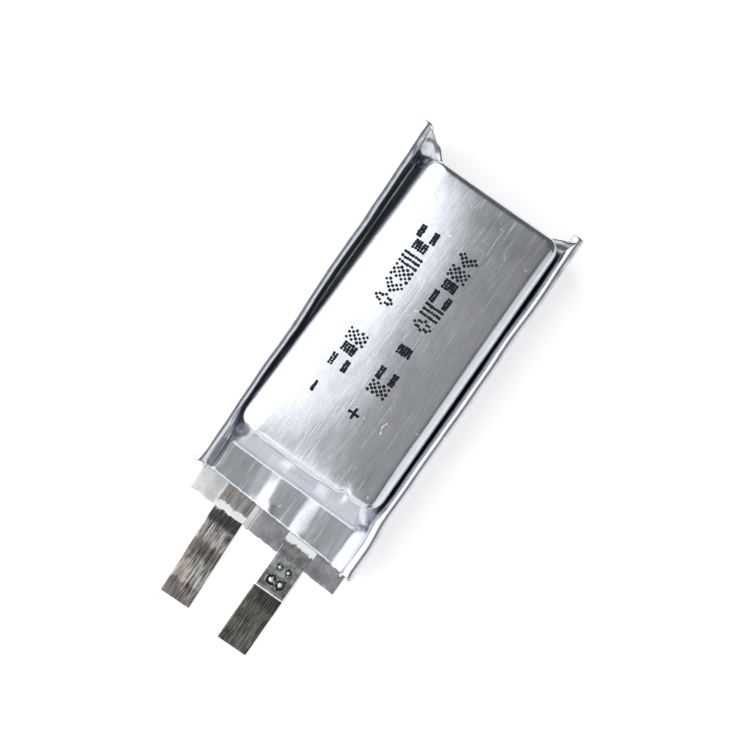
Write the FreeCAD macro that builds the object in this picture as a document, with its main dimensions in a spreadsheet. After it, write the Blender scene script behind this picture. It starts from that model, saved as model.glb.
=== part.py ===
"""Pouch battery cell, as a parametric document.

The cell lies on its flat back, with +Z out of its cup, +Y towards the folded end and the
two tabs leaving towards -Y.  The origin is the middle of the flat back.
"""
import FreeCAD, Part
import Sketcher
import math
import os
from FreeCAD import Placement, Rotation, Vector

DOC = FreeCAD.newDocument("PouchCell")
SHEET = DOC.addObject("Spreadsheet::Sheet", "Sizes")

# Driving dimensions: alias, value (mm, degrees or a count), what it is.
DRIVING = [
    ("film", 0.113, "thickness of the aluminium laminate film"),
    ("seal", 0.20, "thickness of two films sealed together"),
    ("cell_length", 25.0, "fold to the cut edge of the top seal"),
    ("cup_width", 11.1, "width of the cup at its foot"),
    ("cup_height", 6.40, "flat back to the face of the cup"),
    ("side_draft", 0.40, "how far each side wall leans in"),
    ("fold_draft", 0.40, "how far the wall at the fold leans in"),
    ("slope_run", 1.55, "run of the sloped wall at the tabs"),
    ("terrace", 2.60, "width of the top seal"),
    ("wall_corner", 0.90, "radius of the upright corners of the cup"),
    ("face_corner", 0.65, "radius round the face of the cup"),
    ("wing_height", 5.20, "top of the folded side seals above the back"),
    ("wing_lean", 5.5, "lean of the side seals away from the cup, degrees"),
    ("wing_bend", 0.30, "radius at the middle of the film where a side seal turns up"),
    ("wing_root", 0.06, "flat strip between the cup and the turned up seal"),
    ("hem_bend", 0.25, "radius at the middle of the film in the double fold"),
    ("hem_return", 1.30, "length of the strip folded back inside"),
    ("wing_overrun", 1.20, "how far the side seals run on past the fold"),
    ("gusset_height", 4.30, "height of the webs at the folded end"),
    ("gusset_reach", 1.10, "how far the webs stand out from the folded end"),
    ("tab_pitch", 5.06, "distance between the middles of the tabs"),
    ("tab_width", 2.20, "width of both tabs"),
    ("tab_sheet", 0.10, "thickness of the tabs"),
    ("negative_out", 8.00, "nickel tab beyond the top seal"),
    ("positive_out", 4.20, "aluminium tab beyond the top seal"),
    ("extension_out", 8.40, "nickel extension beyond the top seal"),
    ("extension_start", 2.00, "start of the extension beyond the top seal"),
    ("tab_tail", 1.45, "tabs inside the cell, measured from the top seal"),
    ("resin", 0.065, "thickness of one tab sealing film"),
    ("resin_out", 1.60, "sealing films beyond the top seal"),
    ("resin_in", 0.30, "sealing films beyond the inner edge of the top seal"),
    ("negative_resin", 6.30, "width of the sealing films of the nickel tab"),
    ("positive_resin", 7.00, "width of the sealing films of the aluminium tab"),
    ("resin_flat", 5.30, "half width of the flat part of the top seal"),
    ("small_weld", 0.27, "radius of the two upper spot welds"),
    ("large_weld", 0.40, "radius of the two lower spot welds"),
    ("weld_pitch_across", 0.74, "spot welds across the tab"),
    ("weld_pitch_along", 1.00, "spot welds along the tab"),
    ("weld_start", 2.37, "first spot welds beyond the top seal"),
    ("weld_crown", 0.03, "height of a weld above the tab"),
    ("cathodes", 11, "number of positive plates"),
    ("copper", 0.010, "thickness of the copper foil"),
    ("aluminium", 0.015, "thickness of the aluminium foil"),
    ("separator", 0.016, "thickness of the separator"),
    ("coat_ratio", 1.10, "negative coating over positive coating"),
    ("stack_foot", 0.25, "underside of the plate stack above the back"),
    ("stack_height", 5.45, "height of the plate stack"),
    ("plate_half", 4.40, "half width of the negative plates"),
    ("plate_start", 2.00, "plates beyond the foot of the sloped wall"),
    ("plate_end", 1.20, "plates short of the folded end"),
    ("plate_inset", 0.30, "positive plate inside the negative plate all round"),
    ("ear_width", 2.00, "width of the foil ears that reach the tabs"),
    ("ear_drop", 0.85, "distance in which the ears drop to the tabs"),
    ("ear_root", 0.50, "length of an ear that lies in its own foil"),
    ("ear_weld", 0.60, "length of the ears that lies on a tab"),
    ("tape", 0.03, "thickness of the adhesive tapes"),
    ("tape_width", 6.00, "width of the tape round the stack"),
    ("tape_half", 4.60, "half width inside the tape round the stack"),
    ("weld_tape_half", 1.40, "half width of the tape over an inner weld"),
]
ALIASES = {alias for alias, _, _ in DRIVING}


def fill_sheet():
    """One row for each driving dimension: name, value, meaning."""
    for row, (alias, value, meaning) in enumerate(DRIVING, start=1):
        SHEET.set(f"A{row}", alias)
        SHEET.set(f"B{row}", str(value))
        SHEET.set(f"C{row}", meaning)
        SHEET.setAlias(f"B{row}", alias)
    DOC.recompute()


def size(alias):
    """The value of one driving dimension."""
    return float(SHEET.get(alias))


def expression(formula):
    """A formula in the sheet's aliases, as an expression that the document reads."""
    words = formula.replace("(", " ( ").replace(")", " ) ").split()
    return " ".join(f"Sizes.{word}" if word in ALIASES else word for word in words)


def value_of(formula):
    """What a formula comes to now."""
    return float(SHEET.evalExpression(expression(formula)))


def bind(thing, **formulas):
    """Binds properties of an object to formulas; two underscores stand for a dot."""
    for name, formula in formulas.items():
        thing.setExpression(name.replace("__", "."), expression(formula))


# Places that several pieces share, as formulas.
SEAL_EDGE = "( - cell_length / 2 )"
CUP_FOOT = "( - cell_length / 2 + terrace )"
LAYER_1 = "film"
LAYER_2 = "( film + resin )"
LAYER_3 = "( film + resin + tab_sheet )"
SANDWICH = "( 2 * resin + tab_sheet )"
NEGATIVE_X = "( - tab_pitch / 2 )"
POSITIVE_X = "( tab_pitch / 2 )"


def box(name, x0, x1, y0, y1, z0, z1):
    """A box between six formulas."""
    solid = DOC.addObject("Part::Box", name)
    bind(solid, Length=f"{x1} - ( {x0} )", Width=f"{y1} - ( {y0} )", Height=f"{z1} - ( {z0} )",
         Placement__Base__x=x0, Placement__Base__y=y0, Placement__Base__z=z0)
    return solid


def cut(name, base, tool):
    """base without tool."""
    solid = DOC.addObject("Part::Cut", name)
    solid.Base = base
    solid.Tool = tool
    return solid


def fuse(name, shapes):
    """All the shapes as one solid."""
    solid = DOC.addObject("Part::MultiFuse", name)
    solid.Shapes = shapes
    solid.Refine = True
    return solid


def origin_plane(body, role):
    """The body's own origin plane of that role."""
    for feature in body.Origin.OriginFeatures:
        if feature.Role == role:
            return feature
    raise ValueError(role)


def rectangle_sketch(body, name, x0, x1, y0, y1, z0):
    """A rectangle between four formulas at height z0, constrained from the sketch's axes."""
    sketch = body.newObject("Sketcher::SketchObject", name)
    sketch.AttachmentSupport = (origin_plane(body, "XY_Plane"), [""])
    sketch.MapMode = "FlatFace"
    bind(sketch, AttachmentOffset__Base__z=z0)
    values = [x0, x1, y0, y1]
    low_x, high_x, low_y, high_y = [value_of(value) for value in values]
    corners = [Vector(low_x, low_y, 0), Vector(high_x, low_y, 0),
               Vector(high_x, high_y, 0), Vector(low_x, high_y, 0)]
    for start, end in zip(corners, corners[1:] + corners[:1]):
        sketch.addGeometry(Part.LineSegment(start, end), False)
    add_rectangle_constraints(sketch, low_x, high_x, low_y, high_y)
    for label, formula in zip(("low_x", "high_x", "low_y", "high_y"), values):
        bind(sketch, **{f"Constraints__{label}": formula})
    return sketch


def add_rectangle_constraints(sketch, low_x, high_x, low_y, high_y):
    """Closes a four-sided outline, squares it and names its four sides."""
    start, end, root = 1, 2, -1
    for side in range(4):
        sketch.addConstraint(Sketcher.Constraint("Coincident", side, end, (side + 1) % 4, start))
    for side in (0, 2):
        sketch.addConstraint(Sketcher.Constraint("Horizontal", side))
    for side in (1, 3):
        sketch.addConstraint(Sketcher.Constraint("Vertical", side))
    places = [("low_x", "DistanceX", 0, start, low_x), ("high_x", "DistanceX", 0, end, high_x),
              ("low_y", "DistanceY", 0, start, low_y), ("high_y", "DistanceY", 2, start, high_y)]
    for label, kind, side, point, value in places:
        index = sketch.addConstraint(Sketcher.Constraint(kind, root, 1, side, point, value))
        sketch.renameConstraint(index, label)


def strip_body(name, x0, x1, y0, y1, z0, height):
    """A flat strip: a rectangle on XY at height z0, padded upwards."""
    body = DOC.addObject("PartDesign::Body", name)
    sketch = rectangle_sketch(body, f"{name}_outline", x0, x1, y0, y1, z0)
    pad = body.newObject("PartDesign::Pad", f"{name}_pad")
    pad.Profile = sketch
    bind(pad, Length=height)
    return body


def pocket_rectangle(body, name, x0, x1, y0, y1, z0, depth):
    """A rectangular pocket, cut upwards from height z0."""
    sketch = rectangle_sketch(body, f"{name}_outline", x0, x1, y0, y1, z0)
    pocket = body.newObject("PartDesign::Pocket", name)
    pocket.Profile = sketch
    pocket.Reversed = True
    bind(pocket, Length=depth)
    return pocket


def cup_block(name, inset, bottom):
    """The drawn cup as a drafted block, brought in all round by inset, its edges rounded."""
    half_foot = f"( cup_width / 2 - {inset} )"
    half_face = f"( cup_width / 2 - side_draft - {inset} )"
    wedge = DOC.addObject("Part::Wedge", f"{name}_wedge")
    wedge.Placement = Placement(Vector(), Rotation(Vector(1, 0, 0), 90))
    bind(wedge, Xmin=f"- {half_foot}", Xmax=half_foot, X2min=f"- {half_face}", X2max=half_face,
         Ymin=bottom, Ymax=f"cup_height - {inset}",
         Zmin=f"- cell_length / 2 + {inset}", Zmax=f"cell_length / 2 - terrace - {inset}",
         Z2min=f"- cell_length / 2 + fold_draft + {inset}",
         Z2max=f"cell_length / 2 - terrace - slope_run - {inset}")
    DOC.recompute()
    shape = wedge.Shape
    top = shape.BoundBox.ZMax
    upright = [i for i, edge in enumerate(shape.Edges, 1) if edge.BoundBox.ZLength > top / 2]
    rim = [i for i, edge in enumerate(shape.Edges, 1) if edge.BoundBox.ZMin > top - size("film") / 2]
    wall_radius = size("wall_corner") - value_of(inset)
    face_radius = size("face_corner") - value_of(inset)
    block = DOC.addObject("Part::Fillet", name)
    block.Base = wedge
    block.Edges = [(i, wall_radius, wall_radius) for i in upright]
    block.Edges += [(i, face_radius, face_radius) for i in rim]
    return block


def gusset(side):
    """The web of film that joins a corner of the folded end to the side seal."""
    end = size("cell_length") / 2
    inner = size("cup_width") / 2 - size("side_draft") - size("wall_corner") / 2
    outer = size("cup_width") / 2
    reach = size("gusset_reach")
    skin = 2 * size("film")
    outline = [Vector(inner, end - size("fold_draft"), 0), Vector(outer, end + reach - skin, 0),
               Vector(outer, end + reach, 0), Vector(inner, end - size("fold_draft") + 2 * skin, 0)]
    outline = [Vector(side * p.x, p.y, size("seal")) for p in outline]
    face = Part.Face(Part.makePolygon(outline + outline[:1]))
    web = DOC.addObject("Part::Feature", "gusset_left" if side < 0 else "gusset_right")
    web.Shape = face.extrude(Vector(0, 0, size("gusset_height") - size("seal")))
    return web


def front_film():
    """The half of the laminate sheet that is drawn into a cup, with its share of the top seal."""
    shell = cut("cup_shell", cup_block("cup_outside", "0", "film"),
                cup_block("cup_inside", "film", "film"))
    half = "( cup_width / 2 )"
    terrace = box("terrace_sheet", f"- {half}", half, SEAL_EDGE, f"{CUP_FOOT} + film",
                  "film", "2 * film")
    bridge = box("terrace_bridge", "- resin_flat - film / 2", "resin_flat + film / 2", SEAL_EDGE,
                 f"{CUP_FOOT} + film", "film", f"2 * film + {SANDWICH}")
    slot = box("terrace_slot", "- resin_flat", "resin_flat", f"{SEAL_EDGE} - film",
               f"{CUP_FOOT} + resin_in", "film", f"film + {SANDWICH}")
    sheet = fuse("front_sheet", [shell, terrace, bridge, gusset(-1), gusset(1)])
    return cut("front_film", sheet, slot)


def back_film():
    """The flat half of the laminate sheet."""
    return strip_body("back_film", "- cup_width / 2", "cup_width / 2", SEAL_EDGE,
                      "cell_length / 2", "0", "film")


def side_seal_path():
    """Middle line of a side seal in XZ: root, bend, leaning wall, half-turn and return strip."""
    lean = math.radians(size("wing_lean"))
    bend = size("wing_bend")
    hem = size("hem_bend")
    turn = math.pi / 2 - lean
    start = Vector(size("cup_width") / 2, 0, size("seal") / 2)
    foot = start + Vector(size("wing_root"), 0, 0)
    centre = foot + Vector(0, 0, bend)
    along = Vector(math.cos(turn), 0, math.sin(turn))
    inward = Vector(-along.z, 0, along.x)

    def on_bend(angle):
        return centre + Vector(bend * math.sin(angle), 0, -bend * math.cos(angle))

    wall_foot = on_bend(turn)
    ridge = size("wing_height") - size("seal") / 2 - hem * (1 + math.sin(lean))
    wall_top = wall_foot + along * ((ridge - wall_foot.z) / along.z)
    hem_centre = wall_top + inward * hem
    hem_crest = hem_centre + along * hem
    hem_end = hem_centre + inward * hem
    tail = hem_end - along * size("hem_return")
    edges = [Part.LineSegment(start, foot), Part.Arc(foot, on_bend(turn / 2), wall_foot),
             Part.LineSegment(wall_foot, wall_top), Part.Arc(wall_top, hem_crest, hem_end),
             Part.LineSegment(hem_end, tail)]
    return Part.Wire([edge.toShape() for edge in edges])


def side_seal(name, side):
    """A side seal folded double and turned up beside the cup."""
    path = side_seal_path()
    half = size("seal") / 2
    band = path.makeOffset2D(half, openResult=True, fill=True)
    other = path.makeOffset2D(-half, openResult=True, fill=True)
    length = size("cell_length") + size("wing_overrun")
    along = Vector(0, length, 0)
    solid = band.extrude(along).fuse(other.extrude(along)).removeSplitter()
    if side < 0:
        solid = solid.mirror(Vector(), Vector(1, 0, 0))
    seal = DOC.addObject("Part::Feature", name)
    seal.Shape = solid.Solids[0]
    seal.Placement = Placement(Vector(0, -size("cell_length") / 2, 0), Rotation())
    return seal


def tab_sides(middle):
    """The two long edges of a tab about its middle."""
    return f"{middle} - tab_width / 2", f"{middle} + tab_width / 2"


def weld_places():
    """Middle and radius of the four spot welds, as formulas."""
    places = []
    for row, radius in enumerate(("small_weld", "large_weld")):
        for side in ("-", "+"):
            x = f"( {POSITIVE_X} {side} weld_pitch_across / 2 )"
            y = f"( {SEAL_EDGE} - weld_start - {row} * weld_pitch_along )"
            places.append((x, y, radius))
    return places


def spot_welds(name, top):
    """The fused spots that hold the extension to the aluminium tab, up to height top."""
    spots = []
    for number, (x, y, radius) in enumerate(weld_places(), start=1):
        spot = DOC.addObject("Part::Cylinder", f"{name}_{number}")
        bind(spot, Radius=radius, Height=f"{top} - {LAYER_2} + tab_sheet",
             Placement__Base__x=x, Placement__Base__y=y,
             Placement__Base__z=f"{LAYER_2} - tab_sheet")
        spots.append(spot)
    group = DOC.addObject("Part::Compound", name)
    group.Links = spots
    return group


def negative_tab():
    """The nickel tab."""
    x0, x1 = tab_sides(NEGATIVE_X)
    return strip_body("negative_tab", x0, x1, f"{SEAL_EDGE} - negative_out",
                      f"{CUP_FOOT} + tab_tail", LAYER_2, "tab_sheet")


def positive_tab():
    """The aluminium tab, with a hole where each spot weld has fused through it."""
    x0, x1 = tab_sides(POSITIVE_X)
    strip = strip_body("positive_strip", x0, x1, f"{SEAL_EDGE} - positive_out",
                       f"{CUP_FOOT} + tab_tail", LAYER_2, "tab_sheet")
    return cut("positive_tab", strip, spot_welds("positive_tab_holes", LAYER_3))


def positive_extension():
    """The nickel strip under the end of the aluminium tab, which takes the solder."""
    x0, x1 = tab_sides(POSITIVE_X)
    strip = strip_body("extension_strip", x0, x1, f"{SEAL_EDGE} - extension_out",
                       f"{SEAL_EDGE} - extension_start", f"{LAYER_2} - tab_sheet", "tab_sheet")
    return cut("positive_tab_extension", strip, spot_welds("extension_holes", LAYER_3))


def sealing_films():
    """Four resin films, one above and one below each tab, lapped in the middle."""
    left = f"( {NEGATIVE_X} - negative_resin / 2 )"
    lap_under = f"( {NEGATIVE_X} + negative_resin / 2 )"
    lap_over = f"( {POSITIVE_X} - positive_resin / 2 )"
    right = f"( {POSITIVE_X} + positive_resin / 2 )"
    sealing_film("negative_seal_film_back", left, lap_under, LAYER_1, "resin")
    sealing_film("positive_seal_film_back", lap_under, right, LAYER_1, "resin")
    front_height = "resin + tab_sheet"
    slot_for_tab(sealing_film("negative_seal_film_front", left, lap_over, LAYER_2, front_height),
                 NEGATIVE_X)
    slot_for_tab(sealing_film("positive_seal_film_front", lap_over, right, LAYER_2, front_height),
                 POSITIVE_X)


def sealing_film(name, x0, x1, z0, height):
    """One resin film, narrower where it lies between the films of the top seal."""
    inner_end = f"{CUP_FOOT} + resin_in"
    body = strip_body(name, x0, x1, f"{SEAL_EDGE} - resin_out", inner_end, z0, height)
    overhang = (x0, "- resin_flat") if name.startswith("negative") else ("resin_flat", x1)
    pocket_rectangle(body, f"{name}_trim", *overhang, SEAL_EDGE, inner_end, z0, height)
    return body


def slot_for_tab(body, middle):
    """The tunnel that a tab runs through, at the underside of a front film."""
    side_0, side_1 = tab_sides(middle)
    pocket_rectangle(body, f"{body.Name}_slot", side_0, side_1,
                     f"{SEAL_EDGE} - resin_out - resin_in", f"{CUP_FOOT} + 2 * resin_in",
                     LAYER_2, "tab_sheet")


def coating_sizes():
    """Thickness of a negative and of a positive coating, which fill what the foils leave."""
    cathodes = int(size("cathodes"))
    foils = (cathodes + 1) * size("copper") + cathodes * size("aluminium")
    free = size("stack_height") - foils - 2 * cathodes * size("separator")
    positive = free / (2 * cathodes + 2 * (cathodes + 1) * size("coat_ratio"))
    return positive * size("coat_ratio"), positive


def plate_levels():
    """Underside of every plate, negative and positive in turn, from the bottom up."""
    negative, positive = coating_sizes()
    level = size("stack_foot")
    negatives = []
    positives = []
    for _ in range(int(size("cathodes"))):
        negatives.append(level)
        level += size("copper") + 2 * negative + size("separator")
        positives.append(level)
        level += size("aluminium") + 2 * positive + size("separator")
    negatives.append(level)
    return negatives, positives


def plate_ends():
    """The two ends of the negative plates along Y."""
    foot = -size("cell_length") / 2 + size("terrace")
    return foot + size("plate_start"), size("cell_length") / 2 - size("plate_end")


def foil_with_ear(level, foil, inset, middle, rank):
    """One foil, with its ear led down onto the tab above the ears of the foils below it."""
    start, end = plate_ends()
    half = size("plate_half") - inset
    sheet = Part.makeBox(2 * half, end - start - 2 * inset, foil, Vector(-half, start + inset, level))
    tab_top = size("film") + size("resin") + size("tab_sheet")
    landing = tab_top + rank * foil
    drop_end = start - size("ear_drop")
    left = middle - size("ear_width") / 2
    points = [Vector(left, start + inset + size("ear_root"), level), Vector(left, start, level),
              Vector(left, drop_end, landing), Vector(left, drop_end - size("ear_weld"), landing)]
    band = Part.makePolygon(points).makeOffset2D(foil, openResult=True, fill=True)
    if band.BoundBox.ZMax < level + foil / 2:
        band = Part.makePolygon(points).makeOffset2D(-foil, openResult=True, fill=True)
    ear = band.extrude(Vector(size("ear_width"), 0, 0))
    return sheet.fuse(ear).removeSplitter()


def foils(name, levels, foil, coating, inset, middle):
    """All the foils of one sign."""
    sheets = []
    for rank, level in enumerate(levels):
        sheets += foil_with_ear(level + coating, foil, inset, middle, rank).Solids
    group = DOC.addObject("Part::Feature", name)
    group.Shape = Part.makeCompound(sheets)
    return group


def coatings(name, levels, foil, coating, inset):
    """The coatings on both faces of all the foils of one sign."""
    start, end = plate_ends()
    half = size("plate_half") - inset
    layers = []
    for level in levels:
        for bottom in (level, level + coating + foil):
            layers.append(Part.makeBox(2 * half, end - start - 2 * inset, coating,
                                       Vector(-half, start + inset, bottom)))
    group = DOC.addObject("Part::Feature", name)
    group.Shape = Part.makeCompound(layers)
    return group


def separator():
    """One sheet folded to and fro between the plates: straight runs joined by half-turns."""
    negatives, positives = plate_levels()
    skin = size("separator")
    half = size("plate_half")
    levels = []
    for lower, upper in zip(positives, negatives[1:]):
        levels += [lower - skin / 2, upper - skin / 2]
    edges = []
    for number, level in enumerate(levels):
        towards = 1 if number % 2 == 0 else -1
        edges.append(Part.LineSegment(Vector(-towards * half, 0, level),
                                      Vector(towards * half, 0, level)))
        if number + 1 < len(levels):
            rise = levels[number + 1] - level
            edges.append(Part.Arc(Vector(towards * half, 0, level),
                                  Vector(towards * (half + rise / 2), 0, level + rise / 2),
                                  Vector(towards * half, 0, level + rise)))
    path = Part.Wire([edge.toShape() for edge in edges])
    start, end = plate_ends()
    along = Vector(0, end - start, 0)
    sides = [path.makeOffset2D(sign * skin / 2, openResult=True, fill=True).extrude(along)
             for sign in (1, -1)]
    sheet = DOC.addObject("Part::Feature", "separator")
    sheet.Shape = sides[0].fuse(sides[1]).removeSplitter().Solids[0]
    sheet.Placement = Placement(Vector(0, start, 0), Rotation())
    return sheet


def electrode_stack():
    """Foils, coatings and separator of the plate stack."""
    negatives, positives = plate_levels()
    negative_coat, positive_coat = coating_sizes()
    middle = size("tab_pitch") / 2
    inset = size("plate_inset")
    foils("copper_foils", negatives, size("copper"), negative_coat, 0, -middle)
    coatings("graphite_coatings", negatives, size("copper"), negative_coat, 0)
    foils("aluminium_foils", positives, size("aluminium"), positive_coat, inset, middle)
    coatings("cathode_coatings", positives, size("aluminium"), positive_coat, inset)
    separator()


def stack_tape():
    """The adhesive tape once round the middle of the plate stack."""
    half = "tape_half"
    y0 = "- tape_width / 2"
    y1 = "tape_width / 2"
    top = "( stack_foot + stack_height )"
    outside = box("tape_outside", f"- {half} - tape", f"{half} + tape", y0, y1,
                  "stack_foot - tape", f"{top} + tape")
    inside = box("tape_inside", f"- {half}", half, f"{y0} - tape", f"{y1} + tape",
                 "stack_foot", top)
    return cut("stack_tape", outside, inside)


def weld_tape(name, middle, count, foil):
    """The adhesive tape over the ears welded to one tab."""
    drop_end = f"( {CUP_FOOT} + plate_start - ear_drop )"
    return strip_body(name, f"{middle} - weld_tape_half", f"{middle} + weld_tape_half",
                      f"{drop_end} - ear_weld", f"{drop_end} - film / 2",
                      f"{LAYER_3} + ( {count} ) * {foil}", "tape")


def check_document():
    """Stops if any object failed or any sub-part is empty or broken."""
    for thing in DOC.Objects:
        if {"Invalid", "Error"} & set(thing.State):
            raise RuntimeError(f"{thing.Name}: {thing.State}")
    for name in SUB_PARTS:
        shape = DOC.getObject(name).Shape
        if shape.isNull() or not shape.isValid() or not shape.Solids:
            raise RuntimeError(f"{name} has no valid solid")


SUB_PARTS = [
    "front_film", "back_film", "left_side_seal", "right_side_seal",
    "negative_tab", "positive_tab", "positive_tab_extension", "extension_spot_welds",
    "negative_seal_film_front", "negative_seal_film_back",
    "positive_seal_film_front", "positive_seal_film_back",
    "copper_foils", "graphite_coatings", "aluminium_foils", "cathode_coatings", "separator",
    "stack_tape", "negative_weld_tape", "positive_weld_tape",
]


def main():
    """Builds every sub-part, checks it and writes one file for each."""
    fill_sheet()
    front_film()
    back_film()
    side_seal("left_side_seal", -1)
    side_seal("right_side_seal", 1)
    negative_tab()
    positive_tab()
    positive_extension()
    spot_welds("extension_spot_welds", f"{LAYER_3} + weld_crown")
    sealing_films()
    electrode_stack()
    stack_tape()
    weld_tape("negative_weld_tape", NEGATIVE_X, "cathodes + 1", "copper")
    weld_tape("positive_weld_tape", POSITIVE_X, "cathodes", "aluminium")
    DOC.recompute()
    check_document()
    os.makedirs("parts", exist_ok=True)
    for name in SUB_PARTS:
        part = DOC.getObject(name)
        part.Label = name
        part.Shape.exportStep(f"parts/{name}.step")
        bounds = part.Shape.BoundBox
        print(f"{name}: {len(part.Shape.Solids)} solids, {part.Shape.Volume:.3f} mm3, "
              f"x {bounds.XMin:.2f}..{bounds.XMax:.2f}, y {bounds.YMin:.2f}..{bounds.YMax:.2f}, "
              f"z {bounds.ZMin:.3f}..{bounds.ZMax:.3f}")


main()
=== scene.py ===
"""Pouch battery cell: the film pouch, its seals and tabs, built around the fixed frame."""
import math
import bmesh
import bpy
import numpy as np
from bpy.props import FloatProperty, FloatVectorProperty, PointerProperty
from mathutils import Matrix, Vector


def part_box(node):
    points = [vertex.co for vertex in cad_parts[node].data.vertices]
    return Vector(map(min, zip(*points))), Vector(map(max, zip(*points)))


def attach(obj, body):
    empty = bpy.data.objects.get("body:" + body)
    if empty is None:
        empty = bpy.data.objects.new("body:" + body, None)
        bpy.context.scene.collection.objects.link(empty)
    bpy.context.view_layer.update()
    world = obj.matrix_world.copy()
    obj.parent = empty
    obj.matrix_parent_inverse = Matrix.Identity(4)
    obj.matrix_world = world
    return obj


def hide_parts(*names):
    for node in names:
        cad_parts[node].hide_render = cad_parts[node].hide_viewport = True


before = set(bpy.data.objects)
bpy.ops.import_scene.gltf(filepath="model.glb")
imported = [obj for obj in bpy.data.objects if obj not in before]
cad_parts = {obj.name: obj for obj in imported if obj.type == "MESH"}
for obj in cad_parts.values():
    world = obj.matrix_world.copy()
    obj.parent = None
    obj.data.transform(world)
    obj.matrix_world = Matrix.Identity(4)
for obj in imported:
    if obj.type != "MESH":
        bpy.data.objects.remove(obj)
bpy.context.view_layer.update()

bl_info = {
    "name": "Pouch battery cell",
    "version": (1, 0, 0),
    "blender": (4, 5, 0),
    "location": "View3D > Sidebar > Pouch cell",
    "description": "Builds a pouch battery cell around its fixed frame",
    "category": "Object",
}

MM = 0.001
DEGREE = math.pi / 180
BODY = "root"
SMALLEST_GAP = 1e-7


def corner(node, high, axis):
    """One coordinate of a frame node's box, in metres."""
    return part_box(node)[1 if high else 0][axis]


SEAL_EDGE = corner("back_film", False, 1)
FOLD_END = corner("back_film", True, 1)
CUP_HALF = corner("back_film", True, 0)
FILM = corner("back_film", True, 2)
FACE_TOP = corner("front_film", True, 2)
RIDGE_TOP = corner("left_side_seal", True, 2)
RIDGE_OUT = corner("right_side_seal", True, 0)
EAR_END = corner("right_side_seal", True, 1)
RESIN_END = corner("positive_seal_film_front", False, 1)
RESIN_TOP = corner("positive_seal_film_front", True, 2)
TERRACE_END = corner("positive_seal_film_front", True, 1) - 0.3 * MM


# ---------------------------------------------------------------- shapes in numpy

def smooth(low, high, value):
    """0 below low, 1 above high, and the cubic 3t^2 - 2t^3 between them."""
    t = np.clip((value - low) / (high - low), 0.0, 1.0)
    return t * t * (3.0 - 2.0 * t)


def ripples(x, y, wavelength, seed, waves=9):
    """Unevenness of about unit height: the sum of sine waves of about that wavelength.

    Each wave is sin(2 pi (x cos a + y sin a) / length + phase); the seed settles a, length
    and phase.
    """
    draw = np.random.default_rng(seed)
    total = np.zeros(np.broadcast(x, y).shape)
    for turn, phase, stretch in draw.uniform((0, 0, 0.7), (2 * np.pi, 2 * np.pi, 1.5), (waves, 3)):
        run = x * np.cos(turn) + y * np.sin(turn)
        total = total + np.sin(2 * np.pi * run / (wavelength * stretch) + phase)
    return total / math.sqrt(waves)


def grid_faces(rows, columns, wrap=False):
    """The quads of a grid of points stored row by row; wrap joins the last column to the first."""
    row, column = np.meshgrid(np.arange(rows - 1), np.arange(columns - (not wrap)), indexing="ij")
    after = (column + 1) % columns
    quads = np.stack([row * columns + column, row * columns + after,
                      (row + 1) * columns + after, (row + 1) * columns + column], axis=-1)
    return quads.reshape(-1, 4)


def mesh_piece(name, points, faces, material, nodes=(), uv=None, merge=False, outward=False):
    """A shaded mesh that rides on the cell and stands for the nodes.

    faces is an array of quads, or a list where some faces have fewer corners.
    """
    mesh = bpy.data.meshes.new(name)
    corner_lists = faces if isinstance(faces, list) else faces.tolist()
    mesh.from_pydata(points.reshape(-1, 3).tolist(), [], corner_lists)
    if uv is not None:
        layer = mesh.uv_layers.new(name="UVMap")
        corners = np.empty(len(mesh.loops), dtype=np.int64)
        mesh.loops.foreach_get("vertex_index", corners)
        layer.data.foreach_set("uv", uv.reshape(-1, 2)[corners].ravel())
    if merge or outward:
        work = bmesh.new()
        work.from_mesh(mesh)
        if merge:
            bmesh.ops.remove_doubles(work, verts=work.verts, dist=SMALLEST_GAP)
            bmesh.ops.dissolve_degenerate(work, edges=work.edges, dist=SMALLEST_GAP)
        if outward:
            bmesh.ops.recalc_face_normals(work, faces=work.faces)
        work.to_mesh(mesh)
        work.free()
    mesh.polygons.foreach_set("use_smooth", np.ones(len(mesh.polygons), dtype=bool))
    mesh.materials.append(material)
    mesh.validate()
    piece = bpy.data.objects.new(name, mesh)
    bpy.context.scene.collection.objects.link(piece)
    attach(piece, BODY)
    if nodes:
        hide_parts(*nodes)
    return piece


def thicken(piece, thickness, offset=-1.0):
    """Gives a sheet its thickness; offset -1 puts it inside the outer face."""
    solid = piece.modifiers.new("Film thickness", "SOLIDIFY")
    solid.thickness = thickness
    solid.offset = offset
    solid.use_even_offset = False


def outline_parameters(along_x, along_y, round_corner):
    """Parameters of a path once round a rounded rectangle, anticlockwise from its right side.

    Each sample has the fractions across and along the inner rectangle, and the outward angle.
    """
    def part(count, across, along, angle):
        t = np.arange(count) / count
        spans = [start + (end - start) * t for start, end in (across, along, angle)]
        return np.stack(spans)

    quarter = np.pi / 2
    parts = [
        part(along_y, (1, 1), (0, 1), (0, 0)),
        part(round_corner, (1, 1), (1, 1), (0, quarter)),
        part(along_x, (1, 0), (1, 1), (quarter, quarter)),
        part(round_corner, (0, 0), (1, 1), (quarter, 2 * quarter)),
        part(along_y, (0, 0), (1, 0), (2 * quarter, 2 * quarter)),
        part(round_corner, (0, 0), (0, 0), (2 * quarter, 3 * quarter)),
        part(along_x, (0, 1), (0, 0), (3 * quarter, 3 * quarter)),
        part(round_corner, (1, 1), (0, 0), (3 * quarter, 4 * quarter)),
    ]
    return np.concatenate(parts, axis=1)


def bend_points(start, middle, end, count):
    """A quadratic curve from start to end that heads for middle at first."""
    t = np.linspace(0, 1, count, endpoint=False)[:, None]
    return (1 - t) ** 2 * start + 2 * t * (1 - t) * middle + t ** 2 * end


def line_points(start, end, count):
    """Evenly spaced points from start up to end."""
    t = np.linspace(0, 1, count, endpoint=False)[:, None]
    return start + (end - start) * t


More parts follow.
